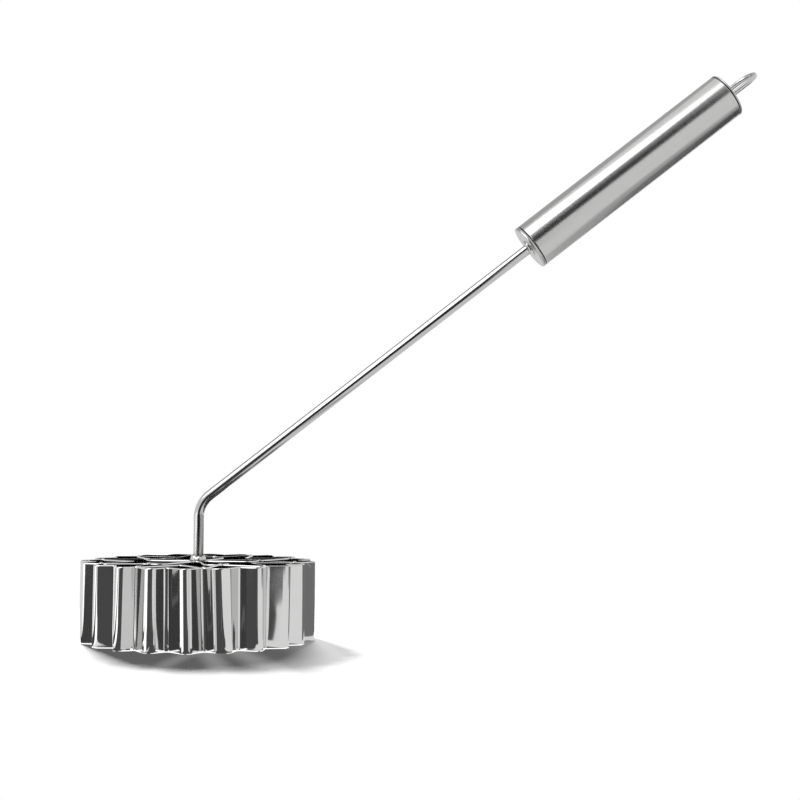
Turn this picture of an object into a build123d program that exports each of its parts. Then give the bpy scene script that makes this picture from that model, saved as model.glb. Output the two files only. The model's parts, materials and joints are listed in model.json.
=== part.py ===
from build123d import *
import math
import os

# Masher head: three corrugated steel bands, one inside another.
# Z is up, the origin is the centre of the head's underside, the handle rises towards +X.
strip_height = 32.0
sheet = 0.8
fold_gap = 0.15  # between the folds of neighbouring bands, bridged by tack welds
petals = 5  # waves of the inner band; each band further out has twice as many
outer_tip_radius = 46.8  # over the outward folds
outer_root_radius = 40.7  # outer face at the inward folds
middle_root_radius = 25.8
first_tip_angle = -87.6  # degrees from +X to one outward fold of the outer band
fold_bend = 1.5  # inside radius of a fold
petal_bend = 4.6  # inside radius of the inner band's outward folds

# Lapped ends of the strips
lap_length = 6.0
lap_corner = 2.0  # clipped corners of the free end
lap_slit = 0.4
outer_lap_wave = 4
middle_lap_wave = 7
inner_lap_wave = 2

# Tack welds on the top edges
tack_radius = 1.2
tack_height = 0.75
tack_round = 0.55

# Bent rod
rod_diameter = 4.2
rod_foot = 6.0  # height of the rod's lower end above the underside
bend_height = 55.2  # where the axes of the two straight runs meet
bend_radius = 11.5
slope = 38.0  # degrees above the horizontal
handle_start = 172.6  # from the bend's corner to the handle tube
rod_tail = 15.0  # rod inside the handle tube
foot_weld_width = 1.5
foot_weld_height = 2.4

# Handle
tube_diameter = 19.2
tube_wall = 0.6
tube_length = 100.0
fit = 0.05  # radial clearance of all round fits
seal_thickness = 0.45
seal_recess = 0.1
front_disc = 1.5
front_disc_round = 0.6
rear_disc = 0.7
rear_disc_round = 0.4
skirt_length = 8.0
skirt_wall = 0.8
cap_weld_width = 1.1
cap_weld_height = 1.0

# Hanging loop
loop_wire = 2.0
loop_spacing = 12.0  # between the axes of the two legs
loop_straight = 7.6  # straight part of each leg outside the cap
loop_tail = 3.0  # leg inside the cap
loop_turn = 16.0  # degrees that the loop is turned about the handle's axis
loop_weld_width = 0.7
loop_weld_height = 1.0

# Sizes that follow from the fits
rod_radius = rod_diameter / 2
tube_radius = tube_diameter / 2
skirt_radius = tube_radius - tube_wall - fit
middle_waves = 2 * petals
outer_waves = 2 * middle_waves
middle_tip_radius = outer_root_radius - sheet - fold_gap
inner_tip_radius = middle_root_radius - sheet - fold_gap
inner_root_radius = rod_radius + fit + sheet
middle_first_tip = first_tip_angle + 180 / outer_waves
inner_first_tip = middle_first_tip + 180 / middle_waves

# Planes on the handle's axis: local Z runs along the handle, local X is level
handle_axis = Vector(math.cos(math.radians(slope)), 0, math.sin(math.radians(slope)))
tube_front = Plane(
    origin=Vector(0, 0, bend_height) + handle_axis * handle_start,
    x_dir=(0, 1, 0),
    z_dir=handle_axis,
)
tube_rear = tube_front.offset(tube_length)
front_face = tube_front.offset(-seal_thickness - front_disc)
rear_inside = tube_rear.offset(seal_thickness)
rear_face = rear_inside.offset(rear_disc)
loop_across = tube_front.x_dir.rotate(Axis((0, 0, 0), handle_axis), loop_turn)


def flank_points(waves, tip, root, tip_bend, root_bend):
    # A straight flank touches the arc of an outward fold at angle 0 and of the next inward fold
    half_pitch = 180 / waves
    tip_centre = Vector(tip - tip_bend, 0)
    root_centre = Vector(root + root_bend, 0).rotate(Axis.Z, half_pitch)
    between = root_centre - tip_centre
    swing = math.degrees(math.acos((tip_bend + root_bend) / between.length))
    normal = between.normalized().rotate(Axis.Z, -swing)
    return tip_centre + normal * tip_bend, root_centre - normal * root_bend, normal


def mirrored(point, angle):
    # The same point on the other side of a fold that lies at this angle
    turned = point.rotate(Axis.Z, -angle)
    return Vector(turned.X, -turned.Y).rotate(Axis.Z, angle)


def draw_wavy_loop(waves, first_tip, tip, root, tip_bend, root_bend):
    half_pitch = 180 / waves
    tip_end, root_start, _ = flank_points(waves, tip, root, tip_bend, root_bend)
    tip_start = mirrored(tip_end, 0)
    root_end = mirrored(root_start, half_pitch)
    root_low = Vector(root, 0).rotate(Axis.Z, half_pitch)
    next_tip = tip_start.rotate(Axis.Z, 2 * half_pitch)
    for wave in range(waves):
        turn = first_tip + 2 * half_pitch * wave
        tip_arc = [point.rotate(Axis.Z, turn) for point in (tip_start, Vector(tip, 0), tip_end)]
        root_arc = [point.rotate(Axis.Z, turn) for point in (root_start, root_low, root_end)]
        ThreePointArc(*tip_arc)
        Line(tip_arc[-1], root_arc[0])
        ThreePointArc(*root_arc)
        Line(root_arc[-1], next_tip.rotate(Axis.Z, turn))


def corrugated_band(waves, first_tip, tip, root, tip_bend, root_bend, lap_wave):
    # The plane of the lap lies on the outside of the flank that follows an inward fold
    half_pitch = 180 / waves
    _, root_start, normal = flank_points(waves, tip, root, tip_bend + sheet, root_bend)
    lap_turn = first_tip + 2 * half_pitch * lap_wave
    lap_normal = mirrored(normal, half_pitch).rotate(Axis.Z, lap_turn)
    lap_plane = Plane(
        origin=mirrored(root_start, half_pitch).rotate(Axis.Z, lap_turn),
        x_dir=Vector(0, 0, 1).cross(lap_normal),
        z_dir=lap_normal,
    )
    lap_root = math.sqrt(2 * root_bend * sheet)
    with BuildPart() as band:
        with BuildSketch():
            with BuildLine():
                draw_wavy_loop(waves, first_tip, tip, root, tip_bend + sheet, root_bend)
            make_face()
            with BuildLine():
                draw_wavy_loop(waves, first_tip, tip - sheet, root - sheet, tip_bend, root_bend + sheet)
            make_face(mode=Mode.SUBTRACT)
        extrude(amount=strip_height)
        with BuildSketch(lap_plane):
            with BuildLine():
                Polyline(
                    (-lap_root, 0),
                    (lap_length - lap_corner, 0),
                    (lap_length, lap_corner),
                    (lap_length, strip_height - lap_corner),
                    (lap_length - lap_corner, strip_height),
                    (-lap_root, strip_height),
                    close=True,
                )
            make_face()
        extrude(amount=sheet)
        with BuildSketch(lap_plane):
            with Locations((lap_slit, strip_height / 2)):
                Rectangle(lap_slit, strip_height)
        extrude(amount=-sheet, mode=Mode.SUBTRACT)
    return band


def tack_welds(count, radius, first_angle):
    with BuildPart() as welds:
        with BuildSketch(Plane.XY.offset(strip_height)):
            with PolarLocations(radius, count, start_angle=first_angle):
                Circle(tack_radius)
        extrude(amount=tack_height)
        fillet(welds.faces().filter_by(Axis.Z).group_by(Axis.Z)[-1].edges(), radius=tack_round)
    return welds


def draw_weld_section(inner, width, height):
    # Half of a round weld bead: flat seat, round back
    Line((inner, 0), (inner + width, 0))
    EllipticalCenterArc((inner, 0), width, height, start_angle=0, arc_size=90)
    Line((inner, height), (inner, 0))


def section_plane(seat):
    # Holds the seat's axis as its Y direction
    return Plane(origin=seat.origin, x_dir=seat.x_dir, z_dir=seat.x_dir.cross(seat.z_dir))


os.makedirs("parts", exist_ok=True)

# Outer band
outer_band = corrugated_band(
    outer_waves, first_tip_angle, outer_tip_radius, outer_root_radius,
    fold_bend, fold_bend, outer_lap_wave,
)
outer_band.part.label = "outer_band"
export_step(outer_band.part, "parts/outer_band.step")

# Middle band: its outward folds meet every second inward fold of the outer band
middle_band = corrugated_band(
    middle_waves, middle_first_tip, middle_tip_radius, middle_root_radius,
    fold_bend, fold_bend, middle_lap_wave,
)
middle_band.part.label = "middle_band"
export_step(middle_band.part, "parts/middle_band.step")

# Inner band: petals that meet the middle band and close round the rod
inner_band = corrugated_band(
    petals, inner_first_tip, inner_tip_radius, inner_root_radius,
    petal_bend, fold_bend, inner_lap_wave,
)
inner_band.part.label = "inner_band"
export_step(inner_band.part, "parts/inner_band.step")

# Tack welds between the bands
outer_tack_welds = tack_welds(middle_waves, middle_tip_radius + fold_gap / 2, middle_first_tip)
outer_tack_welds.part.label = "outer_tack_welds"
export_step(outer_tack_welds.part, "parts/outer_tack_welds.step")

inner_tack_welds = tack_welds(petals, inner_tip_radius + fold_gap / 2, inner_first_tip)
inner_tack_welds.part.label = "inner_tack_welds"
export_step(inner_tack_welds.part, "parts/inner_tack_welds.step")

# Bent rod from the head into the handle
with BuildPart() as shank_rod:
    with BuildLine(Plane.XZ):
        rod_end = handle_axis * (handle_start + rod_tail)
        FilletPolyline(
            (0, rod_foot),
            (0, bend_height),
            (rod_end.X, bend_height + rod_end.Z),
            radius=bend_radius,
        )
    with BuildSketch(Plane.XY.offset(rod_foot)):
        Circle(rod_radius)
    sweep()
shank_rod.part.label = "shank_rod"
export_step(shank_rod.part, "parts/shank_rod.step")

# Weld collar that holds the rod on the inner band's top edge
with BuildPart() as shank_foot_weld:
    with BuildSketch(section_plane(Plane.XY.offset(strip_height))):
        with BuildLine():
            draw_weld_section(rod_radius + fit, foot_weld_width, foot_weld_height)
        make_face()
    revolve(axis=Axis.Z)
shank_foot_weld.part.label = "shank_foot_weld"
export_step(shank_foot_weld.part, "parts/shank_foot_weld.step")

# Handle tube
with BuildPart() as handle_tube:
    with BuildSketch(tube_front):
        Circle(tube_radius)
        Circle(tube_radius - tube_wall, mode=Mode.SUBTRACT)
    extrude(amount=tube_length)
handle_tube.part.label = "handle_tube"
export_step(handle_tube.part, "parts/handle_tube.step")

# Sealing rings between the tube and its caps
with BuildPart() as front_seal_ring:
    with BuildSketch(tube_front.offset(-seal_thickness)):
        Circle(tube_radius - seal_recess)
        Circle(skirt_radius + fit, mode=Mode.SUBTRACT)
    extrude(amount=seal_thickness)
front_seal_ring.part.label = "front_seal_ring"
export_step(front_seal_ring.part, "parts/front_seal_ring.step")

with BuildPart() as rear_seal_ring:
    with BuildSketch(tube_rear):
        Circle(tube_radius - seal_recess)
        Circle(skirt_radius + fit, mode=Mode.SUBTRACT)
    extrude(amount=seal_thickness)
rear_seal_ring.part.label = "rear_seal_ring"
export_step(rear_seal_ring.part, "parts/rear_seal_ring.step")

# Front cap: disc with a skirt inside the tube and a hole for the rod
with BuildPart() as front_cap:
    with BuildSketch(front_face):
        Circle(tube_radius)
    extrude(amount=front_disc)
    fillet(front_cap.edges().sort_by(Axis((0, 0, 0), handle_axis))[0], radius=front_disc_round)
    with BuildSketch(front_face.offset(front_disc)):
        Circle(skirt_radius)
        Circle(skirt_radius - skirt_wall, mode=Mode.SUBTRACT)
    extrude(amount=seal_thickness + skirt_length)
    with Locations(front_face):
        Hole(radius=rod_radius + fit)
front_cap.part.label = "front_cap"
export_step(front_cap.part, "parts/front_cap.step")

# Weld of the rod on the front cap
with BuildPart() as front_cap_weld:
    with BuildSketch(section_plane(Plane(front_face.origin, front_face.x_dir, -handle_axis))):
        with BuildLine():
            draw_weld_section(rod_radius + fit, cap_weld_width, cap_weld_height)
        make_face()
    revolve(axis=Axis(front_face.origin, handle_axis))
front_cap_weld.part.label = "front_cap_weld"
export_step(front_cap_weld.part, "parts/front_cap_weld.step")

# Rear cap: thinner disc with the same skirt and two holes for the loop
loop_legs = [rear_inside.origin + loop_across * (side * loop_spacing / 2) for side in (-1, 1)]
with BuildPart() as rear_cap:
    with BuildSketch(rear_inside):
        Circle(tube_radius)
    extrude(amount=rear_disc)
    fillet(rear_cap.edges().sort_by(Axis((0, 0, 0), handle_axis))[-1], radius=rear_disc_round)
    with BuildSketch(rear_inside):
        Circle(skirt_radius)
        Circle(skirt_radius - skirt_wall, mode=Mode.SUBTRACT)
    extrude(amount=-seal_thickness - skirt_length)
    for leg in loop_legs:
        with Locations(Plane(leg, rear_inside.x_dir, handle_axis)):
            Hole(radius=loop_wire / 2 + fit)
rear_cap.part.label = "rear_cap"
export_step(rear_cap.part, "parts/rear_cap.step")

# Hanging loop: one wire bent to a U
loop_plane = Plane(rear_face.origin, loop_across, loop_across.cross(handle_axis))
half_loop = loop_spacing / 2
leg_end = -rear_disc - loop_tail
with BuildPart() as hanging_loop:
    with BuildLine(loop_plane):
        Line((-half_loop, leg_end), (-half_loop, loop_straight))
        ThreePointArc(
            (-half_loop, loop_straight),
            (0, loop_straight + half_loop),
            (half_loop, loop_straight),
        )
        Line((half_loop, loop_straight), (half_loop, leg_end))
    first_leg_end = loop_plane.from_local_coords(Vector(-half_loop, leg_end))
    with BuildSketch(Plane(first_leg_end, loop_across, handle_axis)):
        Circle(loop_wire / 2)
    sweep()
hanging_loop.part.label = "hanging_loop"
export_step(hanging_loop.part, "parts/hanging_loop.step")

# Welds of the loop's legs on the inside of the rear cap
with BuildPart() as loop_welds:
    for leg in loop_legs:
        with BuildSketch(section_plane(Plane(leg, loop_across, -handle_axis))):
            with BuildLine():
                draw_weld_section(loop_wire / 2 + fit, loop_weld_width, loop_weld_height)
            make_face()
        revolve(axis=Axis(leg, handle_axis))
loop_welds.part.label = "loop_welds"
export_step(loop_welds.part, "parts/loop_welds.step")
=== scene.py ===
import bmesh
import bpy
import json
import math
import random
from mathutils import Matrix, Vector


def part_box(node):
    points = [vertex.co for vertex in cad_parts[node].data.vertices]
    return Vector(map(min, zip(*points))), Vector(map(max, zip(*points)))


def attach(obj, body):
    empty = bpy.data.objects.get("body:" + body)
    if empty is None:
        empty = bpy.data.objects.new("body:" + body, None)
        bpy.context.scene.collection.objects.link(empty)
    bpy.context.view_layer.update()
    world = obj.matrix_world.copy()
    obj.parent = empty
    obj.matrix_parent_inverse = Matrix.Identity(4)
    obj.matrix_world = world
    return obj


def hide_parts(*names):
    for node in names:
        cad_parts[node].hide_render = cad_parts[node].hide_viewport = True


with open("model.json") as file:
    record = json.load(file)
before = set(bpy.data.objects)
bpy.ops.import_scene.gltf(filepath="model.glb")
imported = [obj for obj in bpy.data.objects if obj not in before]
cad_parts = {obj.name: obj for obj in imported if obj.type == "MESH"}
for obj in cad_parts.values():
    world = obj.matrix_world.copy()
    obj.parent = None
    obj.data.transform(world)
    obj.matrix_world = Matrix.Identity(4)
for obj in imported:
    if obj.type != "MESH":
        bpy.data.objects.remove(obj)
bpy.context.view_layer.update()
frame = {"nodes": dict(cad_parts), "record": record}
mm = 0.001
mounts = {mount["name"]: mount for mount in frame["record"]["mounts"]}
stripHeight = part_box("outer_band")[1].z

# The handle's own frame: Z runs along the tube from its middle, X is level
gripAxis = Vector(mounts["handle_grip"]["axis"]).normalized()
gripRadius = mounts["handle_grip"]["dims"]["r_mm"] * mm
gripLength = mounts["handle_grip"]["dims"]["length_mm"] * mm
levelAxis = Vector((0, 1, 0))
gripFrame = Matrix((levelAxis, gripAxis.cross(levelAxis), gripAxis)).transposed().to_4x4()
gripFrame.translation = Vector(mounts["handle_grip"]["pos_m"])
print("frame loaded:", len(frame["nodes"]), "nodes")


# Adds a node, with its settings, and sets or links its inputs
def addNode(tree, kind, inputs=None, **settings):
    node = tree.nodes.new(kind)
    for name, value in settings.items():
        setattr(node, name, value)
    for name, value in (inputs or {}).items():
        if isinstance(value, bpy.types.Node):
            value = next(out for out in value.outputs if out.enabled)  # a node stands for its first output
        if isinstance(value, bpy.types.NodeSocket):
            tree.links.new(value, node.inputs[name])
        else:
            node.inputs[name].default_value = value
    return node


# An sRGB hex value as linear red, green, blue and alpha
def hexColour(text):
    shades = [int(text[place:place + 2], 16) / 255 for place in (1, 3, 5)]
    return [s / 12.92 if s <= 0.04045 else ((s + 0.055) / 1.055) ** 2.4 for s in shades] + [1.0]


# Camera: a short tele lens a little above the head, tipped up towards the handle. Place in millimetres,
# angles in degrees
view = dict(lens=64.23, place=(95.14, -582.52, 70.59), turn=1.3, tip=2.68, roll=0.275)

cameraData = bpy.data.cameras.new("photoCamera")
cameraData.lens = view["lens"]
camera = bpy.data.objects.new("photoCamera", cameraData)
camera.matrix_world = (
    Matrix.Translation(Vector(view["place"]) * mm)
    @ Matrix.Rotation(math.radians(view["turn"]), 4, "Z")
    @ Matrix.Rotation(math.radians(90 + view["tip"]), 4, "X")
    @ Matrix.Rotation(math.radians(view["roll"]), 4, "Z")
)
bpy.context.scene.collection.objects.link(camera)
bpy.context.scene.camera = camera
bpy.context.scene.view_settings.view_transform = "Standard"

noiseLow, noiseMiddle, noiseHigh = 0.3, 0.5, 0.7  # where most of a noise texture's values lie


def newMaterial(name):
    material = bpy.data.materials.new(name)
    material.use_nodes = True
    material.node_tree.nodes.clear()
    return material, material.node_tree


# Shade, gloss and fine relief, each from a pattern; rubbed adds to the roughness. A finish's sizes are in
# millimetres, and its roughness lies between smooth and rough
def closeMaterial(tree, finish, tint, gloss, relief, rubbed=None):
    shade = addNode(
        tree, "ShaderNodeMix",
        {"Factor": tint, "A": hexColour(finish["light"]), "B": hexColour(finish["dark"])}, data_type="RGBA",
    )
    rough = addNode(
        tree, "ShaderNodeMapRange",
        {"Value": gloss, "From Min": noiseLow, "From Max": noiseHigh,
         "To Min": finish["smooth"], "To Max": finish["rough"]},
    )
    if rubbed is not None:
        rough = addNode(tree, "ShaderNodeMath", {0: rough, 1: rubbed}, operation="ADD")
    bump = addNode(tree, "ShaderNodeBump", {"Height": relief, "Distance": finish["relief"] * mm})
    surface = addNode(
        tree, "ShaderNodeBsdfPrincipled",
        {"Base Color": shade, "Metallic": finish["metallic"], "Roughness": rough, "Normal": bump},
    )
    addNode(tree, "ShaderNodeOutputMaterial", {"Surface": surface})


# Bright annealed stainless strip: rolled between polished rolls, so it mirrors like a dull looking glass,
# with faint rolling lines, a thin film from handling and edges rubbed matt by tumbling
def rolledStrip():
    finish = dict(
        light="#D6D6D5", dark="#CFCFCF", metallic=1.0, smooth=0.04, rough=0.08, relief=0.0001,
        film=11.0, line=0.5, stretch=0.03, edge=0.15, rubbed=0.2,
    )
    material, tree = newMaterial("stainlessStripBrightRolled")
    place = addNode(tree, "ShaderNodeTexCoord").outputs["Object"]
    film = addNode(
        tree, "ShaderNodeTexNoise", {"Vector": place, "Scale": 1 / (finish["film"] * mm), "Detail": 3.0}
    )
    rolled = addNode(
        tree, "ShaderNodeMapping", {"Vector": place, "Scale": (finish["stretch"], finish["stretch"], 1.0)}
    )
    lines = addNode(tree, "ShaderNodeTexNoise", {"Vector": rolled, "Scale": 1 / (finish["line"] * mm)})
    height = addNode(tree, "ShaderNodeSeparateXYZ", {"Vector": place}).outputs["Z"]
    upper = addNode(tree, "ShaderNodeMath", {0: stripHeight, 1: height}, operation="SUBTRACT")
    nearest = addNode(tree, "ShaderNodeMath", {0: height, 1: upper}, operation="MINIMUM")
    rubbed = addNode(
        tree, "ShaderNodeMapRange",
        {"Value": nearest, "From Max": finish["edge"] * mm, "To Min": finish["rubbed"], "To Max": 0.0},
    )
    closeMaterial(tree, finish, film, film, lines, rubbed)
    return material


# Drawn and polished stainless wire: bright, with one soft dark line where it mirrors the room
def drawnWire():
    finish = dict(
        light="#C2C2C1", dark="#B8B8B8", metallic=1.0, smooth=0.1, rough=0.16, relief=0.00005,
        film=7.0, grit=0.35,
    )
    material, tree = newMaterial("stainlessWireDrawnPolished")
    place = addNode(tree, "ShaderNodeTexCoord").outputs["Object"]
    film = addNode(
        tree, "ShaderNodeTexNoise", {"Vector": place, "Scale": 1 / (finish["film"] * mm), "Detail": 3.0}
    )
    grit = addNode(tree, "ShaderNodeTexNoise", {"Vector": place, "Scale": 1 / (finish["grit"] * mm)})
    closeMaterial(tree, finish, film, film, grit)
    return material


# Stainless tube, belt ground round and round: satin, long soft reflections, a fine cross grain.
# The real grain is under 0.1 mm, so it is drawn coarser to show
def groundTube():
    finish = dict(
        light="#C2C2C1", dark="#B9B9B9", metallic=1.0, smooth=0.2, rough=0.24, relief=0.00001,
        film=9.0, grain=0.4, stretch=0.05,
    )
    material, tree = newMaterial("stainlessTubeBeltGround")
    place = addNode(tree, "ShaderNodeTexCoord").outputs["Object"]
    aligned = addNode(
        tree, "ShaderNodeMapping", {"Vector": place, "Rotation": gripFrame.to_3x3().inverted().to_euler()}
    )
    drawn = addNode(
        tree, "ShaderNodeMapping", {"Vector": aligned, "Scale": (finish["stretch"], finish["stretch"], 1.0)}
    )
    grain = addNode(
        tree, "ShaderNodeTexNoise",
        {"Vector": drawn, "Scale": 1 / (finish["grain"] * mm), "Detail": 3.0, "Roughness": 0.6},
    )
    film = addNode(tree, "ShaderNodeTexNoise", {"Vector": aligned, "Scale": 1 / (finish["film"] * mm)})
    cloud = addNode(tree, "ShaderNodeMath", {0: film, 1: grain}, operation="MULTIPLY")
    closeMaterial(tree, finish, cloud, grain, grain)
    return material


# Pressed stainless disc: the same steel, blasted matt, so it turns pale grey all over
def mattDisc():
    finish = dict(
        light="#BABAB9", dark="#B0B0B0", metallic=1.0, smooth=0.28, rough=0.36, relief=0.00005,
        film=4.0, grit=0.3,
    )
    material, tree = newMaterial("stainlessDiscPressedMatt")
    place = addNode(tree, "ShaderNodeTexCoord").outputs["Object"]
    film = addNode(tree, "ShaderNodeTexNoise", {"Vector": place, "Scale": 1 / (finish["film"] * mm)})
    grit = addNode(tree, "ShaderNodeTexNoise", {"Vector": place, "Scale": 1 / (finish["grit"] * mm)})
    closeMaterial(tree, finish, film, grit, grit)
    return material


# Stainless weld metal: frozen ripples, bright after cleaning, a little duller in the hollows
def weldMetal():
    finish = dict(
        light="#D8D8D7", dark="#B4B4B3", metallic=1.0, smooth=0.2, rough=0.34, relief=0.007, ripple=0.5,
    )
    material, tree = newMaterial("stainlessWeldCleaned")
    place = addNode(tree, "ShaderNodeTexCoord").outputs["Object"]
    ripple = addNode(
        tree, "ShaderNodeTexNoise", {"Vector": place, "Scale": 1 / (finish["ripple"] * mm), "Detail": 3.0}
    )
    closeMaterial(tree, finish, ripple, ripple, ripple)
    return material


# Black sealing rubber: nearly no gloss, fine moulded grit
def sealRubber():
    finish = dict(
        light="#161616", dark="#0C0C0C", metallic=0.0, smooth=0.5, rough=0.65, relief=0.01, grit=0.3,
    )
    material, tree = newMaterial("blackRubberMoulded")
    place = addNode(tree, "ShaderNodeTexCoord").outputs["Object"]
    grit = addNode(tree, "ShaderNodeTexNoise", {"Vector": place, "Scale": 1 / (finish["grit"] * mm)})
    closeMaterial(tree, finish, grit, grit, grit)
    return material


stripFinish = rolledStrip()
wireFinish = drawnWire()
tubeFinish = groundTube()
discFinish = mattDisc()
weldFinish = weldMetal()
rubberFinish = sealRubber()
print("materials ready")


# A tree with the named sizes and a finish as its inputs
def newTree(name, sizes):
    tree = bpy.data.node_groups.new(name, "GeometryNodeTree")
    tree.is_modifier = True
    tree.interface.new_socket("Geometry", in_out="INPUT", socket_type="NodeSocketGeometry")
    for size in sizes:
        tree.interface.new_socket(size, in_out="INPUT", socket_type="NodeSocketFloat")
    tree.interface.new_socket("Finish", in_out="INPUT", socket_type="NodeSocketMaterial")
    tree.interface.new_socket("Geometry", in_out="OUTPUT", socket_type="NodeSocketGeometry")
    return tree, addNode(tree, "NodeGroupInput").outputs


def closeTree(tree, shape, finish):
    smooth = addNode(tree, "GeometryNodeSetShadeSmooth", {"Geometry": shape})
    real = addNode(tree, "GeometryNodeRealizeInstances", {"Geometry": smooth})
    dressed = addNode(tree, "GeometryNodeSetMaterial", {"Geometry": real, "Material": finish})
    addNode(tree, "NodeGroupOutput", {"Geometry": dressed})


# Cuts every stretch of a curve that is longer than the step
def divideLong(tree, curve, step):
    position = addNode(tree, "GeometryNodeInputPosition")
    following = addNode(tree, "GeometryNodeOffsetPointInCurve", {"Offset": 1}).outputs["Point Index"]
    ahead = addNode(
        tree, "GeometryNodeFieldAtIndex", {"Value": position, "Index": following}, data_type="FLOAT_VECTOR"
    )
    gap = addNode(tree, "ShaderNodeVectorMath", {0: position, 1: ahead}, operation="DISTANCE")
    share = addNode(tree, "ShaderNodeMath", {0: gap.outputs["Value"], 1: step}, operation="DIVIDE")
    cuts = addNode(tree, "FunctionNodeFloatToInt", {0: share}, rounding_mode="FLOOR")
    return addNode(tree, "GeometryNodeSubdivideCurve", {"Curve": curve, "Cuts": cuts})


# A strip that follows a folded line: rounds the folds, draws the section along it, clips the corners
# of the free end, leans each fold and warps the flanks. The base mesh holds the line and the section
def foldedStripTree():
    foldPoints = 9  # on the round of every fold
    tree, given = newTree("foldedStrip", ("Height", "Corner", "Warp", "Warp Size", "Step", "Seed"))
    # Points of the section are marked 1, those of the line 0
    inSection = addNode(tree, "GeometryNodeInputNamedAttribute", {"Name": "section"}, data_type="FLOAT")
    chosen = addNode(tree, "FunctionNodeCompare", {"A": inSection, "B": 0.5}, data_type="FLOAT")
    halves = addNode(
        tree, "GeometryNodeSeparateGeometry", {"Geometry": given["Geometry"], "Selection": chosen}
    ).outputs
    section = addNode(tree, "GeometryNodeMeshToCurve", {"Mesh": halves["Selection"]})
    bare = addNode(tree, "GeometryNodeMeshToCurve", {"Mesh": halves["Inverted"]})
    bend = addNode(tree, "GeometryNodeInputNamedAttribute", {"Name": "bend"}, data_type="FLOAT")
    folded = addNode(
        tree, "GeometryNodeFilletCurve",
        {"Curve": bare, "Count": foldPoints, "Radius": bend, "Limit Radius": True}, mode="POLY",
    )
    line = addNode(
        tree, "GeometryNodeSetCurveNormal", {"Curve": divideLong(tree, folded, given["Step"])}, mode="Z_UP"
    )
    whole = addNode(tree, "GeometryNodeSplineLength").outputs["Length"]
    passed = addNode(tree, "GeometryNodeSplineParameter").outputs["Length"]
    left = addNode(tree, "ShaderNodeMath", {0: whole, 1: passed}, operation="SUBTRACT")
    line = addNode(
        tree, "GeometryNodeStoreNamedAttribute",
        {"Geometry": line, "Name": "across", "Value": addNode(tree, "GeometryNodeInputNormal")},
        data_type="FLOAT_VECTOR", domain="POINT",
    )
    line = addNode(
        tree, "GeometryNodeStoreNamedAttribute", {"Geometry": line, "Name": "toEnd", "Value": left},
        data_type="FLOAT", domain="POINT",
    )
    band = addNode(
        tree, "GeometryNodeCurveToMesh", {"Curve": line, "Profile Curve": section, "Fill Caps": True}
    )

    position = addNode(tree, "GeometryNodeInputPosition")
    parts = addNode(tree, "ShaderNodeSeparateXYZ", {0: position}).outputs
    toEnd = addNode(tree, "GeometryNodeInputNamedAttribute", {"Name": "toEnd"}, data_type="FLOAT")
    lean = addNode(tree, "GeometryNodeInputNamedAttribute", {"Name": "lean"}, data_type="FLOAT")
    across = addNode(tree, "GeometryNodeInputNamedAttribute", {"Name": "across"}, data_type="FLOAT_VECTOR")
    middle = addNode(tree, "ShaderNodeMath", {0: given["Height"], 1: 0.5}, operation="MULTIPLY")
    short = addNode(tree, "ShaderNodeMath", {0: given["Corner"], 1: toEnd}, operation="SUBTRACT")
    clip = addNode(tree, "ShaderNodeMath", {0: short, 1: 0.0}, operation="MAXIMUM")
    lost = addNode(tree, "ShaderNodeMath", {0: clip, 1: middle}, operation="DIVIDE")
    kept = addNode(tree, "ShaderNodeMath", {0: 1.0, 1: lost}, operation="SUBTRACT")
    rise = addNode(tree, "ShaderNodeMath", {0: parts["Z"], 1: middle}, operation="SUBTRACT")
    lifted = addNode(tree, "ShaderNodeMath", {0: rise, 1: kept, 2: middle}, operation="MULTIPLY_ADD")
    clipped = addNode(tree, "ShaderNodeCombineXYZ", {"X": parts["X"], "Y": parts["Y"], "Z": lifted})
    share = addNode(tree, "ShaderNodeMath", {0: rise, 1: given["Height"]}, operation="DIVIDE")
    angle = addNode(tree, "ShaderNodeMath", {0: lean, 1: share}, operation="MULTIPLY")
    leaned = addNode(
        tree, "ShaderNodeVectorRotate", {"Vector": clipped, "Angle": angle}, rotation_type="Z_AXIS"
    )
    density = addNode(tree, "ShaderNodeMath", {0: 1.0, 1: given["Warp Size"]}, operation="DIVIDE")
    cloud = addNode(
        tree, "ShaderNodeTexNoise",
        {"Vector": position, "W": given["Seed"], "Scale": density, "Detail": 1.0}, noise_dimensions="4D",
    )
    swing = addNode(tree, "ShaderNodeMath", {0: cloud, 1: noiseMiddle}, operation="SUBTRACT")
    depth = addNode(tree, "ShaderNodeMath", {0: swing, 1: given["Warp"]}, operation="MULTIPLY")
    warp = addNode(tree, "ShaderNodeVectorMath", {0: across, "Scale": depth}, operation="SCALE")
    closeTree(
        tree,
        addNode(tree, "GeometryNodeSetPosition", {"Geometry": band, "Position": leaned, "Offset": warp}),
        given["Finish"],
    )
    return tree


# A round wire along a line of straight runs, with the same radius at every bend
def bentWireTree():
    bendPoints, wireSides = 24, 48
    tree, given = newTree("bentWire", ("Radius", "Bend", "Step"))
    bare = addNode(tree, "GeometryNodeMeshToCurve", {"Mesh": given["Geometry"]})
    bent = addNode(
        tree, "GeometryNodeFilletCurve",
        {"Curve": bare, "Count": bendPoints, "Radius": given["Bend"], "Limit Radius": True}, mode="POLY",
    )
    ring = addNode(
        tree, "GeometryNodeCurvePrimitiveCircle", {"Resolution": wireSides, "Radius": given["Radius"]}
    )
    wire = addNode(
        tree, "GeometryNodeCurveToMesh",
        {"Curve": divideLong(tree, bent, given["Step"]), "Profile Curve": ring, "Fill Caps": True},
    )
    closeTree(tree, wire, given["Finish"])
    return tree


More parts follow.
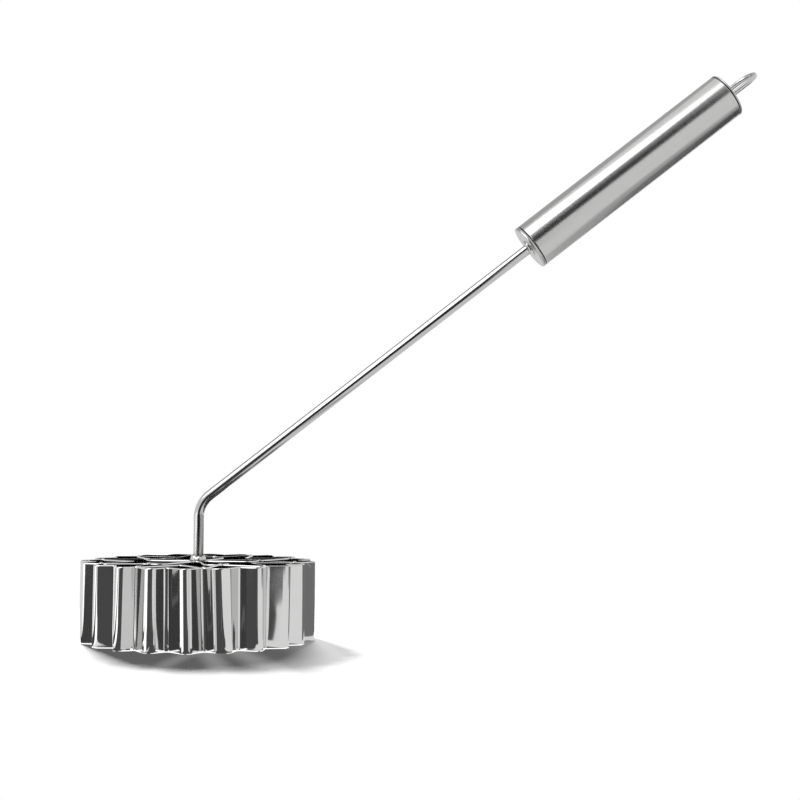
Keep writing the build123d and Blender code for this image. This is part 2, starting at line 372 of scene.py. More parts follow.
# Weld beads: one squat lump on every point, each a little different
def weldBeadTree():
    bead = dict(level=4, least=0.85, most=1.2, draw=4)
    tree, given = newTree("weldBeads", ("Radius", "Rise", "Lump", "Seed"))
    lump = addNode(tree, "GeometryNodeMeshIcoSphere", {"Radius": 1.0, "Subdivisions": bead["level"]})
    girth = addNode(
        tree, "ShaderNodeCombineXYZ", {"X": given["Radius"], "Y": given["Radius"], "Z": given["Rise"]}
    )
    spread = addNode(
        tree, "FunctionNodeRandomValue", {2: bead["least"], 3: bead["most"], "Seed": bead["draw"]},
        data_type="FLOAT",
    )
    size = addNode(tree, "ShaderNodeVectorMath", {0: girth, "Scale": spread}, operation="SCALE")
    placed = addNode(
        tree, "GeometryNodeInstanceOnPoints", {"Points": given["Geometry"], "Instance": lump, "Scale": size}
    )
    beads = addNode(tree, "GeometryNodeRealizeInstances", {"Geometry": placed})
    density = addNode(tree, "ShaderNodeMath", {0: 1.0, 1: given["Radius"]}, operation="DIVIDE")
    cloud = addNode(
        tree, "ShaderNodeTexNoise",
        {"Vector": addNode(tree, "GeometryNodeInputPosition"), "W": given["Seed"], "Scale": density,
         "Detail": 1.0},
        noise_dimensions="4D",
    )
    swing = addNode(tree, "ShaderNodeMath", {0: cloud, 1: noiseMiddle}, operation="SUBTRACT")
    depth = addNode(tree, "ShaderNodeMath", {0: swing, 1: given["Lump"]}, operation="MULTIPLY")
    push = addNode(
        tree, "ShaderNodeVectorMath", {0: addNode(tree, "GeometryNodeInputNormal"), "Scale": depth},
        operation="SCALE",
    )
    beads = addNode(tree, "GeometryNodeSetPosition", {"Geometry": beads, "Offset": push})
    closeTree(tree, beads, given["Finish"])
    return tree


foldedStrip = foldedStripTree()
bentWire = bentWireTree()
weldBeads = weldBeadTree()
print("node trees ready")


# Puts a piece in the frame, in place of its CAD nodes
def finishPiece(piece, slot, *nodes):
    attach(piece, "root")
    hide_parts(*nodes)
    piece.visible_diffuse = False  # leaves its mirror flecks off the floor
    print("piece ready:", piece.name, len(piece.data.polygons), "faces")


def newObject(name, mesh):
    piece = bpy.data.objects.new(name, mesh)
    bpy.context.scene.collection.objects.link(piece)
    return piece


# Runs a tree on a base mesh and keeps the result as a plain mesh
def grow(name, tree, base, finish, sizes):
    piece = newObject(name, base)
    modifier = piece.modifiers.new("grow", "NODES")
    modifier.node_group = tree
    for socket in tree.interface.items_tree:
        if socket.in_out == "INPUT" and socket.name in sizes:
            modifier[socket.identifier] = sizes[socket.name]
        if socket.name == "Finish":
            modifier[socket.identifier] = finish
    grown = bpy.data.meshes.new_from_object(piece.evaluated_get(bpy.context.evaluated_depsgraph_get()))
    piece.modifiers.clear()
    piece.data = grown
    grown.name = name
    for spare in ("bend", "lean", "across", "toEnd", "section"):
        if spare in grown.attributes:
            grown.attributes.remove(grown.attributes[spare])
    return piece


# An open line of points, with a closed outline beside it where one is given. Marks are values on the points
def lineMesh(name, points, outline=(), **marks):
    count, around = len(points), len(outline)
    edges = [(step, step + 1) for step in range(count - 1)]
    edges += [(count + step, count + (step + 1) % around) for step in range(around)]
    mesh = bpy.data.meshes.new(name)
    mesh.from_pydata([*points, *outline], edges, [])
    for mark, values in marks.items():
        mesh.attributes.new(mark, "FLOAT", "POINT").data.foreach_set("value", values)
    return mesh


def polar(radius, angle):
    return Vector((radius * math.cos(angle), radius * math.sin(angle)))


# The strip that the three bands are folded from, in millimetres; oneCorner is the largest half turn, in
# radians, that one corner can round
strip = dict(
    sheet=0.6, rollWide=0.35, rollDeep=0.45, edge=0.06, crease=0.05, rows=12, arc=4, slit=0.6, lapLength=6.0,
    corner=2.0, warp=0.1, warpSize=16.0, step=0.7, oneCorner=1.4, petalCorners=4,
)


# Outline of a strip's section: sheared, so its outer edges are rolled over and its inner ones nearly sharp
def stripSection():
    half, top = strip["sheet"] / 2, stripHeight / mm / 2
    sides, crown = [], []
    for side, wide, deep in ((1, strip["rollWide"], strip["rollDeep"]), (-1, strip["edge"], strip["edge"])):
        flat = top - deep - strip["crease"]  # keeps the flank beside the round flat
        levels = [side * flat * (2 * row / strip["rows"] - 1) for row in range(strip["rows"] + 1)]
        sides.append([(side * half, level) for level in levels])
        arc = []
        for step in range(strip["arc"] + 1):
            turn = math.pi / 2 * step / strip["arc"]
            arc.append((side * (half - wide + wide * math.cos(turn)), top - deep + deep * math.sin(turn)))
        crown += arc[::side]
    return sides[0] + crown + sides[1] + [(x, -y) for x, y in reversed(crown)]


# Centre radius, side, bend and half turn of the round folds of an even wave: outside, then inside
def foldArcs(band):
    halfPitch = math.pi / band["waves"]
    tipBend, rootBend = (band[bend] + strip["sheet"] / 2 for bend in ("tipBend", "rootBend"))
    tipCentre = band["tip"] - strip["sheet"] / 2 - tipBend
    rootCentre = band["root"] - strip["sheet"] / 2 + rootBend
    between = polar(rootCentre, halfPitch) - polar(tipCentre, 0)
    halfTurn = math.atan2(between.y, between.x) - math.acos((tipBend + rootBend) / between.length)
    return (tipCentre, 1, tipBend, halfTurn), (rootCentre, -1, rootBend, halfTurn - halfPitch)


# How far one fold of a band stands off an even wave
def standOff(band, change, wave):
    return band.get(change, {}).get(wave, band.get(change + "Rest", 0))


# The corners of a band's folds, with the bend and lean of each, from just past its lap all the way round
def foldCorners(band):
    points, bends, leans = [], [], []
    for step in range(band["waves"]):
        wave = (band["lap"] + 1 + step) % band["waves"]
        for fold, (centre, side, bend, halfTurn) in zip(("tip", "root"), foldArcs(band)):
            drift, reach, rounder, lean = (
                standOff(band, fold + change, wave) for change in ("Drift", "Reach", "Rounder", "Lean")
            )
            place = wave + (0.5 if fold == "root" else 0.0)  # an inside fold lies half a wave on
            turn = math.radians(band["firstTip"] + 360 / band["waves"] * place + drift)
            middle = polar(centre + reach - side * rounder, turn)
            corners = 1 if halfTurn < strip["oneCorner"] else strip["petalCorners"]
            for corner in range(corners):
                swing = side * halfTurn * ((2 * corner + 1) / corners - 1)
                arm = side * (bend + rounder) / math.cos(halfTurn / corners)
                points.append(middle + polar(arm, turn + swing))
                bends.append(bend + rounder)
                leans.append(math.radians(lean))
    return points, bends, leans


# The base mesh of a band: its folded line, up to the lap's free end, and the section
def foldedLine(band):
    points, bends, leans = foldCorners(band)
    root, tip, lastTip = points[-1], points[0], points[-2]
    along = (tip - root).normalized()
    before = (root - lastTip).normalized()
    outward = Vector((along.y, -along.x))
    tangent = bends[-1] * math.tan(along.angle(before) / 2)
    lifted = root - before * (strip["sheet"] / outward.dot(-before))
    start = root + along * (tangent + strip["slit"])
    end = lifted + along * (tangent + strip["lapLength"])
    points = [start] + points[:-1] + [lifted, end]
    section = stripSection()
    rest = [0.0] * len(section)
    return lineMesh(
        band["name"],
        [(point.x * mm, point.y * mm, stripHeight / 2) for point in points],
        [(x * mm, y * mm, 0) for x, y in section],
        bend=[0.0] + [bend * mm for bend in bends] + [0.0] + rest,
        lean=leans[-1:] + leans + leans[-1:] + rest,
        section=[0.0] * len(points) + [1.0] * len(section),
    )


# The three folded bands. Sizes in millimetres and degrees; drift, reach, rounder and lean say how single
# folds stand off an even wave, counted from the front fold round towards the handle
outerBand = dict(
    name="outer_band_folded", node="outer_band", waves=20, firstTip=-87.6, lap=4,
    tip=46.8, root=40.7, tipBend=2.0, rootBend=0.8, seed=2.0,
    tipDrift={15: -0.9, 16: 0.3, 17: 2.2, 18: 1.9, 19: 2.1, 0: 1.5, 1: 0.1, 2: 0.6, 3: 0.3, 4: -3.2, 5: -2.6,
              6: -1.2, 7: 0.6, 8: 1.4, 9: 0.8, 10: 1.2, 11: 0.7, 12: -0.4, 13: 0.6, 14: -0.5},
    rootDrift={17: 0.8, 18: -1.0, 19: -0.9, 0: 0.8, 1: 2.0, 3: -1.2, 4: -2.6, 6: 0.4, 9: -0.6, 12: 0.5},
    tipReach={15: 1.3, 16: -0.4, 17: -0.6, 18: -0.4, 1: 0.2, 2: 0.2, 3: 0.2, 5: 0.5, 9: -0.2, 12: 0.2},
    tipLean={17: 0.7, 18: 1.2, 19: 0.4, 0: -0.8, 1: -1.6, 2: -0.4, 3: 0.8},
    rootLean={18: 0.5, 19: -0.5, 0: -1.3, 1: -0.2, 2: 0.5},
    rootReach={18: 1.1, 2: 2.2, 3: 1.8}, rootReachRest=0.8, tipRounder={19: 0.3, 1: 1.9},
    rootRounder={19: 1.0, 0: 0.7, 1: 0.4},
)
middleBand = dict(
    name="middle_band_folded", node="middle_band", waves=10, firstTip=-78.6, lap=7,
    tip=39.75, root=25.8, tipBend=1.5, rootBend=1.5, seed=5.0,
    # Its outward folds follow every other inward fold of the outer band
    tipDrift={wave // 2: drift for wave, drift in outerBand["rootDrift"].items() if wave % 2 == 0},
    rootDrift={1: 1.0, 4: -1.2, 7: 0.8}, tipReach={1: 1.4}, tipReachRest=0.7,
)
innerBand = dict(
    name="inner_band_folded", node="inner_band", waves=5, firstTip=-60.6, lap=2,
    tip=24.85, root=2.95, tipBend=4.6, rootBend=1.5, seed=8.0,
)
for band in (outerBand, middleBand, innerBand):
    sizes = {
        "Height": stripHeight, "Corner": strip["corner"] * mm, "Warp": strip["warp"] * mm,
        "Warp Size": strip["warpSize"] * mm, "Step": strip["step"] * mm, "Seed": band["seed"],
    }
    bandPiece = grow(band["name"], foldedStrip, foldedLine(band), stripFinish, sizes)
    finishPiece(bandPiece, "polished_steel", band["node"])

# Tack welds on the top edges, where a band's outward folds meet the next band
tack = dict(radius=0.8, rise=0.55, lump=0.4, sunk=0.2)
for name, node, band, seed in (
    ("outer_tacks", "outer_tack_welds", middleBand, 1.0),
    ("inner_tacks", "inner_tack_welds", innerBand, 3.0),
):
    spots = []
    for wave in range(band["waves"]):
        turn = band["firstTip"] + 360 / band["waves"] * wave + standOff(band, "tipDrift", wave)
        spot = polar(band["tip"] + standOff(band, "tipReach", wave), math.radians(turn)) * mm
        spots.append((spot.x, spot.y, stripHeight - tack["sunk"] * mm))
    dots = bpy.data.meshes.new(name)
    dots.from_pydata(spots, [], [])
    sizes = {
        "Radius": tack["radius"] * mm, "Rise": tack["rise"] * mm, "Lump": tack["lump"] * mm, "Seed": seed,
    }
    finishPiece(grow(name, weldBeads, dots, weldFinish, sizes), "weld_steel", node)

# Bent rod from the head into the handle
rod = dict(radius=2.1, foot=6.0, corner=55.2, bend=11.5, tail=15.0, step=6.0)
rodEnd = gripFrame @ Vector((0, 0, rod["tail"] * mm - gripLength / 2))
rodLine = [(0, 0, rod["foot"] * mm), (0, 0, rod["corner"] * mm), rodEnd]
rodSizes = {"Radius": rod["radius"] * mm, "Bend": rod["bend"] * mm, "Step": rod["step"] * mm}
finishPiece(
    grow("bent_rod", bentWire, lineMesh("bent_rod", rodLine), wireFinish, rodSizes),
    "polished_steel", "shank_rod",
)


# Keeps a shape as an object: faces outwards and smooth, its place in its mesh
def keepShape(name, shape, place, finish):
    bmesh.ops.recalc_face_normals(shape, faces=shape.faces)
    for face in shape.faces:
        face.smooth = True
    mesh = bpy.data.meshes.new(name)
    shape.to_mesh(mesh)
    shape.free()
    mesh.transform(place)
    mesh.materials.append(finish)
    return newObject(name, mesh)


# A round piece turned from a profile of (radius, along, rounding) corners in millimetres
def turned(name, corners, place, finish, closed=True, sides=96, roundSteps=6, flatShare=0.15):
    profile = []
    count = len(corners)
    for step, (radius, along, rounding) in enumerate(corners):
        here = Vector((radius, along))
        if rounding == 0:
            profile.append(here)
            continue
        back = (Vector(corners[step - 1][:2]) - here).normalized()
        ahead = (Vector(corners[(step + 1) % count][:2]) - here).normalized()
        half = back.angle(ahead) / 2
        tangent = rounding / math.tan(half)
        centre = here + (back + ahead).normalized() * (rounding / math.sin(half))
        first, last = here + back * tangent, here + ahead * tangent
        profile.append(first + back * rounding * flatShare)  # keeps the flat beside the round flat
        for part in range(roundSteps + 1):
            between = first.lerp(last, part / roundSteps) - centre
            profile.append(centre + between.normalized() * rounding)
        profile.append(last + ahead * rounding * flatShare)
    shape = bmesh.new()
    rings = []
    for point in profile:
        if point.x == 0:
            rings.append([shape.verts.new((0, 0, point.y * mm))])
            continue
        circle = [polar(point.x * mm, 2 * math.pi * side / sides) for side in range(sides)]
        rings.append([shape.verts.new((spot.x, spot.y, point.y * mm)) for spot in circle])
    pairs = list(zip(rings, rings[1:])) + ([(rings[-1], rings[0])] if closed else [])
    for low, high in pairs:
        for side in range(sides):
            border = [low[side % len(low)], low[(side + 1) % sides % len(low)]]
            border += [high[(side + 1) % sides % len(high)], high[side % len(high)]]
            shape.faces.new(list(dict.fromkeys(border)))  # a corner on the axis counts once
    return keepShape(name, shape, place, finish)


# Handle: tube, two discs with black sealing rings behind them. Along is from the tube's front end
handle = dict(
    wall=0.6, rim=0.25, seal=0.45, recess=0.1, frontDisc=1.5, frontRound=0.6, rearDisc=0.7, rearRound=0.4,
    skirt=8.0, skirtWall=0.8, fit=0.05, dish=0.25, dishRing=5.28, ringDepth=0.1,
)
tubeRadius, tubeLength = gripRadius / mm, gripLength / mm
bore = tubeRadius - handle["wall"]
skirtOuter = bore - handle["fit"]
skirtInner = skirtOuter - handle["skirtWall"]
sealRadius = tubeRadius - handle["recess"]
frontEnd = gripFrame @ Matrix.Translation((0, 0, -gripLength / 2))
tubeCorners = [
    (tubeRadius, 0, handle["rim"]), (tubeRadius, tubeLength, handle["rim"]),
    (bore, tubeLength, 0), (bore, 0, 0),
]
finishPiece(turned("ground_tube", tubeCorners, frontEnd, tubeFinish), "satin_steel", "handle_tube")
for name, node, start in (
    ("front_seal", "front_seal_ring", -handle["seal"]),
    ("rear_seal", "rear_seal_ring", tubeLength),
):
    end = start + handle["seal"]
    sealCorners = [(sealRadius, start, 0), (sealRadius, end, 0), (bore, end, 0), (bore, start, 0)]
    finishPiece(turned(name, sealCorners, frontEnd, rubberFinish), "black_seal", node)

frontFace = -handle["seal"] - handle["frontDisc"]
hole = rod["radius"] + handle["fit"]
frontCorners = [
    (hole, frontFace + handle["dish"], 0), (handle["dishRing"], frontFace + handle["ringDepth"], 0),
    (tubeRadius, frontFace, handle["frontRound"]), (tubeRadius, -handle["seal"], 0),
    (skirtOuter, -handle["seal"], 0), (skirtOuter, handle["skirt"], 0), (skirtInner, handle["skirt"], 0),
    (skirtInner, -handle["seal"], 0), (hole, -handle["seal"], 0),
]
finishPiece(turned("front_disc", frontCorners, frontEnd, discFinish), "satin_steel", "front_cap")
rearInside = tubeLength + handle["seal"]
rearFace = rearInside + handle["rearDisc"]
rearCorners = [
    (0, rearFace, 0), (tubeRadius, rearFace, handle["rearRound"]), (tubeRadius, rearInside, 0),
    (skirtOuter, rearInside, 0), (skirtOuter, tubeLength - handle["skirt"], 0),
    (skirtInner, tubeLength - handle["skirt"], 0), (skirtInner, rearInside, 0), (0, rearInside, 0),
]
finishPiece(
    turned("rear_disc", rearCorners, frontEnd, discFinish, closed=False), "satin_steel", "rear_cap"
)

# Hanging loop: one wire bent to a U, its legs through the rear disc
loop = dict(radius=1.0, spacing=12.0, straight=7.6, tail=3.0, step=3.0, bendShare=0.999)
loopAcross = gripAxis.cross(Vector(mounts["hanging_loop"]["axis"])).normalized()
halfLoop = loop["spacing"] / 2
loopFoot = frontEnd @ Vector((0, 0, rearFace * mm))
loopLine = [
    loopFoot + (loopAcross * side * halfLoop + gripAxis * along) * mm
    for side, along in (
        (-1, -handle["rearDisc"] - loop["tail"]), (-1, loop["straight"] + halfLoop),
        (1, loop["straight"] + halfLoop), (1, -handle["rearDisc"] - loop["tail"]),
    )
]
loopBend = halfLoop * loop["bendShare"]  # just under half the spacing, so that both bends fit
loopSizes = {"Radius": loop["radius"] * mm, "Bend": loopBend * mm, "Step": loop["step"] * mm}
finishPiece(
    grow("wire_loop", bentWire, lineMesh("wire_loop", loopLine), wireFinish, loopSizes),
    "polished_steel", "hanging_loop",
)


# A weld run round the rod: a bead with a wavy outer line, in lumps
def weldRun(name, node, place, width, height, lumps, seed, sides=72, steps=10):
    least, most, notch = 0.75, 1.2, 0.12  # range of the lumps, and how deep they part
    draw = random.Random(seed)
    swell = [draw.uniform(least, most) for lump in range(lumps)]
    shape = bmesh.new()
    rings = []
    for side in range(sides):
        spot = side / sides * lumps
        low, part = int(spot), spot - int(spot)
        fat = swell[low] * (1 - part) + swell[(low + 1) % lumps] * part
        fat *= 1 - notch * math.cos(2 * math.pi * part)
        ring = []
        for step in range(steps + 1):
            rise = math.pi / 2 * step / steps
            spotRadius = hole + width * fat * math.cos(rise)
            flat = polar(spotRadius * mm, 2 * math.pi * side / sides)
            ring.append(shape.verts.new((flat.x, flat.y, height * fat * math.sin(rise) * mm)))
        flat = polar(hole * mm, 2 * math.pi * side / sides)
        ring.append(shape.verts.new((flat.x, flat.y, 0)))
        rings.append(ring)
    for near, far in zip(rings, rings[1:] + rings[:1]):
        for step in range(len(near)):
            following = (step + 1) % len(near)
            shape.faces.new((near[step], far[step], far[following], near[following]))
    finishPiece(keepShape(name, shape, place, weldFinish), "weld_steel", node)


footWeld = dict(width=1.0, height=2.3, lumps=7, seed=3)
capWeld = dict(width=1.1, height=1.0, lumps=6, seed=5)
weldRun("foot_weld", "shank_foot_weld", Matrix.Translation((0, 0, stripHeight)), **footWeld)
capFace = frontEnd @ Matrix.Translation((0, 0, (frontFace + handle["dish"]) * mm))
weldRun("cap_weld", "front_cap_weld", capFace @ Matrix.Rotation(math.pi, 4, "X"), **capWeld)

# The loop's welds lie inside the handle and keep their own mesh
loopWeldNode = frame["nodes"]["loop_welds"]
loopWeldNode.data.materials.clear()
loopWeldNode.data.materials.append(weldFinish)


# Studio: white floor and background, soft boxes, and boards that only the metal sees
studio = dict(
    floor="#F3F3F3", floorRough=0.9, floorLift=0.04, floorDrop=0.05, floorSides=64, near=105.0, far=150.0,
    reach=900.0, ambient=0.08, paintedGlintStart=54.0,
)
# Painted light: fans of glow added to the floor's emission, standing in for light that bright folds throw on
# the floor: middle where they start, drift to the right on the way to the camera, and width from the middle
# to the edge
paintedGlints = [
    dict(middle=2.7, drift=-0.1, wide=6.5, glow=0.1),
    dict(middle=14.0, drift=0.27, wide=7.5, glow=0.13),
    dict(middle=28.5, drift=0.4, wide=10.0, glow=0.14),
    dict(middle=61.0, drift=0.3, wide=20.0, glow=0.16),
]


# 1 where the camera or the metal looks, 0 for light between matt things
def seenDirectly(tree):
    path = addNode(tree, "ShaderNodeLightPath").outputs
    shown = addNode(
        tree, "ShaderNodeMath", {0: path["Is Camera Ray"], 1: path["Is Glossy Ray"]}, operation="MAXIMUM"
    )
    return addNode(tree, "ShaderNodeMath", {0: shown, 1: path["Is Transmission Ray"]}, operation="MAXIMUM")


# White paper, matt: it takes the shadow and the painted fans of light near the head and turns to plain white
# further out
def paperFloor():
    material, tree = newMaterial("whitePaperMatt")
    place = addNode(tree, "ShaderNodeTexCoord").outputs["Object"]
    away = addNode(tree, "ShaderNodeVectorMath", {0: place}, operation="LENGTH").outputs["Value"]
    fade = addNode(
        tree, "ShaderNodeMapRange",
        {"Value": away, "From Min": studio["near"] * mm, "From Max": studio["far"] * mm},
    )
    shade = addNode(
        tree, "ShaderNodeMix",
        {"Factor": fade, "A": hexColour(studio["floor"]), "B": hexColour("#000000")}, data_type="RGBA",
    )
    lift = addNode(tree, "ShaderNodeMapRange", {"Value": fade, "To Min": studio["floorLift"]})
    spot = addNode(tree, "ShaderNodeSeparateXYZ", {"Vector": place}).outputs
    # Each fan paints a soft strip of glow into the floor's emission: painted light that no lamp casts
    for paintedGlint in paintedGlints:
        behind = addNode(
            tree, "ShaderNodeMath", {0: spot["Y"], 1: studio["paintedGlintStart"] * mm}, operation="ADD"
        )
        drifted = addNode(
            tree, "ShaderNodeMath", {0: behind, 1: paintedGlint["drift"], 2: spot["X"]}, operation="MULTIPLY_ADD"
        )
        aside = addNode(tree, "ShaderNodeMath", {0: drifted, 1: -paintedGlint["middle"] * mm}, operation="ADD")
        apart = addNode(tree, "ShaderNodeMath", {0: aside}, operation="ABSOLUTE")
        fan = addNode(
            tree, "ShaderNodeMapRange",
            {"Value": apart, "From Max": paintedGlint["wide"] * mm, "To Min": paintedGlint["glow"], "To Max": 0.0},
            interpolation_type="SMOOTHSTEP",
        )
        lift = addNode(tree, "ShaderNodeMath", {0: lift, 1: fan}, operation="ADD")
    shown = addNode(tree, "ShaderNodeMath", {0: seenDirectly(tree), 1: lift}, operation="MULTIPLY")
    paper = addNode(
        tree, "ShaderNodeBsdfPrincipled",
        {"Base Color": shade, "Roughness": studio["floorRough"], "Specular IOR Level": 0.0,
         "Emission Color": hexColour("#FFFFFF"), "Emission Strength": shown},
    )
    addNode(tree, "ShaderNodeOutputMaterial", {"Surface": paper})
    return material


# A flat piece of the studio
def flatSheet(name, corners, finish):
    mesh = bpy.data.meshes.new(name)
    mesh.from_pydata([Vector(corner) * mm for corner in corners], [], [tuple(range(len(corners)))])
    mesh.materials.append(finish)
    sheet = newObject(name, mesh)
    return sheet


floorTurns = [2 * math.pi * side / studio["floorSides"] for side in range(studio["floorSides"])]
floorRim = [(*polar(studio["reach"], turn), -studio["floorDrop"]) for turn in floorTurns]
flatSheet("floor", floorRim, paperFloor())

world = bpy.data.worlds.new("studioWorld")
bpy.context.scene.world = world
world.use_nodes = True
world.node_tree.nodes.clear()
glow = addNode(
    world.node_tree, "ShaderNodeMapRange",
    {"Value": seenDirectly(world.node_tree), "To Min": studio["ambient"], "To Max": 1.0},
)
sky = addNode(world.node_tree, "ShaderNodeBackground", {"Color": hexColour("#FFFFFF"), "Strength": glow})
addNode(world.node_tree, "ShaderNodeOutputWorld", {"Surface": sky})

# Soft boxes by azimuth (0 is the camera's side, + to the right) and height angle from the spot they
# aim at, in millimetres, with their sizes and distances in metres
lamps = [
    dict(name="backBox", aim=(0, 0, 0), azimuth=-154, rise=30.5, away=2.0, wide=0.38, tall=0.38, glow=190.0,
         glossy=False),
    dict(name="fillBox", aim=(0, 0, 0), azimuth=-178, rise=33, away=2.0, wide=0.7, tall=0.6, glow=29.0,
         glossy=False),
    dict(name="keyBox", aim=(100, 0, 120), azimuth=-50, rise=45, away=0.9, wide=0.88, tall=0.7, glow=2.4,
         diffuse=False),
]
for lamp in lamps:
    turn, rise = math.radians(lamp["azimuth"]), math.radians(lamp["rise"])
    towards = Vector((math.sin(turn) * math.cos(rise), -math.cos(turn) * math.cos(rise), math.sin(rise)))
    lampData = bpy.data.lights.new(lamp["name"], "AREA")
    lampData.shape = "RECTANGLE"
    lampData.size, lampData.size_y = lamp["wide"], lamp["tall"]
    lampData.energy = lamp["glow"] * math.pi * lamp["wide"] * lamp["tall"]
    lampObject = bpy.data.objects.new(lamp["name"], lampData)
    lampObject.location = Vector(lamp["aim"]) * mm + towards * lamp["away"]
    lampObject.rotation_mode = "QUATERNION"
    lampObject.rotation_quaternion = towards.to_track_quat("Z", "Y")
    lampObject.visible_camera = False
    lampObject.visible_glossy = lamp.get("glossy", True)
    lampObject.visible_diffuse = lamp.get("diffuse", True)
    bpy.context.scene.collection.objects.link(lampObject)


# Card and cloth that glow by themselves, so their tone in the metal doesn't hang on the lamps
def boardFinish(name, tone, strength=1.0, oneSided=False):
    material, tree = newMaterial(name)
    lit = addNode(
        tree, "ShaderNodeBsdfPrincipled",
        {"Base Color": hexColour("#000000"), "Specular IOR Level": 0.0, "Emission Color": hexColour(tone),
         "Emission Strength": strength},
    )
    if oneSided:
        behind = addNode(tree, "ShaderNodeNewGeometry").outputs["Backfacing"]
        clear = addNode(tree, "ShaderNodeBsdfTransparent")
        lit = addNode(tree, "ShaderNodeMixShader", {0: behind, 1: lit, 2: clear})
    addNode(tree, "ShaderNodeOutputMaterial", {"Surface": lit})
    return material


blackFlag = boardFinish("blackFlagCloth", "#2C2C2C")
blackBoard = boardFinish("blackBoardMatt", "#4A4A4A")
slateBoard = boardFinish("slateBoardMatt", "#545454")
darkBoard = boardFinish("darkBoardMatt", "#808080")
greyBoard = boardFinish("greyBoardMatt", "#C4C4C4")
paleBoard = boardFinish("paleBoardMatt", "#FCFCFC")
whiteBoard = boardFinish("whiteBoardLit", "#FFFFFF", strength=1.8)
paleCard = boardFinish("paleCardMatt", "#E6E6E6")
oneSidedCard = boardFinish("paleCardOneSided", "#E6E6E6", oneSided=True)
whiteCard = boardFinish("whiteCardOneSided", "#FCFCFC", oneSided=True)
brightCard = boardFinish("brightCardOneSided", "#FFFFFF", strength=1.35, oneSided=True)
litCard = boardFinish("litCardOneSided", "#FFFFFF", strength=1.8, oneSided=True)


# Corners of a board that lies at a height; where two overlap, the higher one shows
def laid(height, *spots):
    return [(x, y, height) for x, y in spots]


# Corners of a board that stands across the view
def standing(y, *spots):
    return [(x, y, z) for x, z in spots]


# A card as high as the head, its top shifted by lean; a one-sided card shows on the left of the way from
# start to end
def standingCard(start, end, low=0.1, high=34, lean=0.0):
    return [(*end, low), (*start, low), (start[0] + lean, start[1], high), (end[0] + lean, end[1], high)]


# A pale line on the floor, along the front of the outer band's edge
sill = dict(firstFold=14, outside=2.2, inside=0.6, height=-0.02)
foldsBefore = (sill["firstFold"] - outerBand["lap"] - 1) % outerBand["waves"]
sillCorners = foldCorners(outerBand)[0][2 * foldsBefore:]  # a tip and a root for each fold
sillLine = [(*(corner + corner.normalized() * sill["outside"]), sill["height"]) for corner in sillCorners]
sillCorners.reverse()
sillLine += [(*(corner - corner.normalized() * sill["inside"]), sill["height"]) for corner in sillCorners]

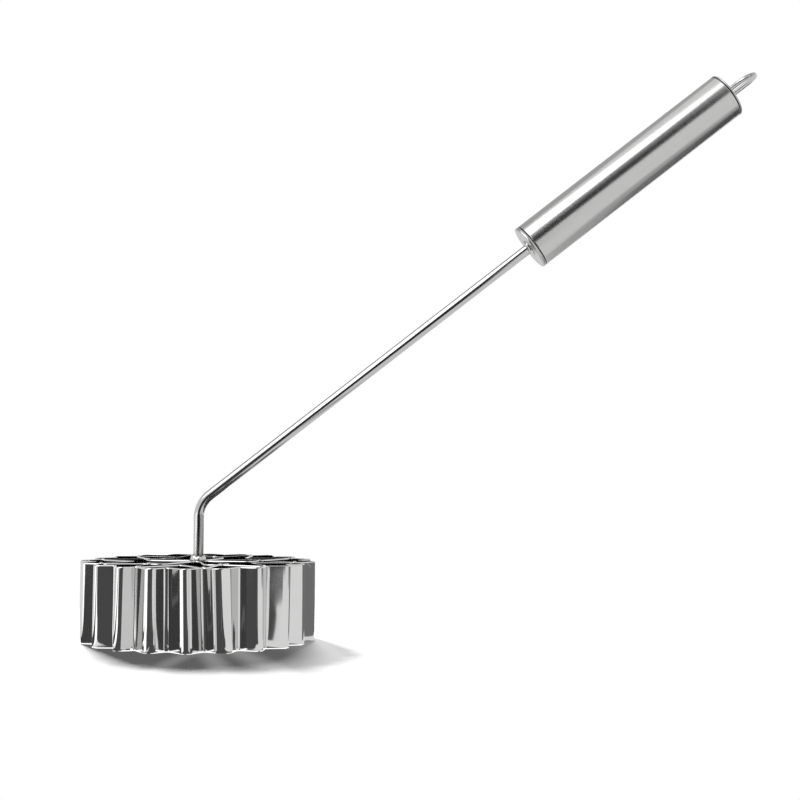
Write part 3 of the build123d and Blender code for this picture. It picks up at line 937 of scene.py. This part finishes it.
# Boards on the floor, above and behind, flags in front of rod and tube, and cards close to single folds,
# numbered like the folds
boards = dict(
    leftFloor=(whiteBoard, laid(
        0.2, (-42, -36), (-66, -114), (-510, -550), (-800, -400), (-800, -95), (-60, -18), (-50, -12),
    )),
    backFloor=(paleBoard, laid(
        0.15, (-50, -12), (-60, -18), (-800, -95), (-800, 500), (-40, 500), (-40, 34), (-50, 10),
    )),
    leftStreak=(blackBoard, laid(0.3, (-54, -2), (-38, -26), (-590, -535), (-652, -458))),
    frontFloor=(slateBoard, laid(
        0.25, (-42, -54), (-30, -35), (-20, -41), (-8, -45), (4, -46), (16, -43), (22, -40), (26, -56),
        (42, -57), (100.8, -233), (229, -557), (282, -700), (-510, -700), (-510, -550), (-66, -114),
    )),
    greyStreak=(darkBoard, laid(
        0.35, (28, -110), (34, -110), (58, -230), (138, -465), (126, -465), (47, -230),
    )),
    foldPatch=(paleCard, laid(
        0.3, (-21.5, -42.5), (-16, -41.5), (-13.2, -46.6), (-9.5, -64), (-13, -60), (-17.5, -50),
    )),
    rightFloor=(paleBoard, laid(
        0.15, (26, -56), (42, -57), (100.8, -233), (229, -557), (282, -700), (850, -500), (850, 300),
        (60, 300), (48, 10), (44, -22), (32, -40), (24, -40),
    )),
    sill=(whiteBoard, sillLine),
    rearFloor=(greyBoard, laid(
        0.3, (300, 20), (390, -75), (460, -70), (900, -50), (900, 800), (420, 800), (330, 400),
    )),
    rearDark=(darkBoard, laid(0.35, (395, 70), (470, 40), (900, 30), (900, 800), (480, 800), (400, 250))),
    rearShade=(blackBoard, laid(0.4, (500, 110), (900, 90), (900, 900), (600, 900), (540, 420))),
    rodFlag=(blackFlag, standing(
        -300, (-140, 16), (-140, 60), (-69, 164), (90, 289), (178, 142), (245, 60), (270, 16),
    )),
    tubeFlag=(blackFlag, standing(-302, (148, 176), (48, 312), (253, 377), (320, 286))),
    tubeShade=(darkBoard, standing(-304, (48, 312), (-27, 430), (180, 497), (253, 377))),
    leftCard=(whiteBoard, standingCard((-338, -91), (-201, -287), low=24, high=80)),
    rightCard=(greyBoard, standingCard((72, -86), (118, 40), low=31, high=52)),
    lapCard=(darkBoard, standingCard((58, -16.6), (69, 10.5))),
    lapBack=(darkBoard, standingCard((72, 8), (54, 42))),
    foldCard=(oneSidedCard, standingCard((-9, -66), (-13.7, -43.4))),
    foldBack=(oneSidedCard, standingCard((12.5, -56), (9, -47.5))),
    stripeCard19=(litCard, standingCard((-16.1, -45.4), (-17.4, -51.3))),
    stripeCard0=(litCard, standingCard((-1.8, -47.2), (-3.1, -53.1))),
    stripeCard1=(oneSidedCard, standingCard((11.4, -44.2), (10.6, -48.1))),
    rootCard18=(oneSidedCard, standingCard((-21.4, -41), (-19.4, -41))),
    rootCard19=(brightCard, standingCard((0.0, -47.2), (1.4, -47.2))),
    rootCard0=(oneSidedCard, standingCard((10.0, -44), (11.1, -44), lean=-1.2)),
    rootCard1=(whiteCard, standingCard((24.5, -50), (25.2, -36.8))),
    topBoard=(greyBoard, [(-1000, 100, 600), (-300, 900, 600), (-60, 600, 1300), (-760, -100, 1300)]),
    backBoard=(greyBoard, standing(700, (-700, 250), (500, 250), (500, 1600), (-700, 1600))),
)
for name, (finish, corners) in boards.items():
    board = flatSheet(name, corners, finish)
    board.visible_camera = board.visible_diffuse = board.visible_shadow = False
    board.visible_transmission = board.visible_volume_scatter = False
print("studio ready")
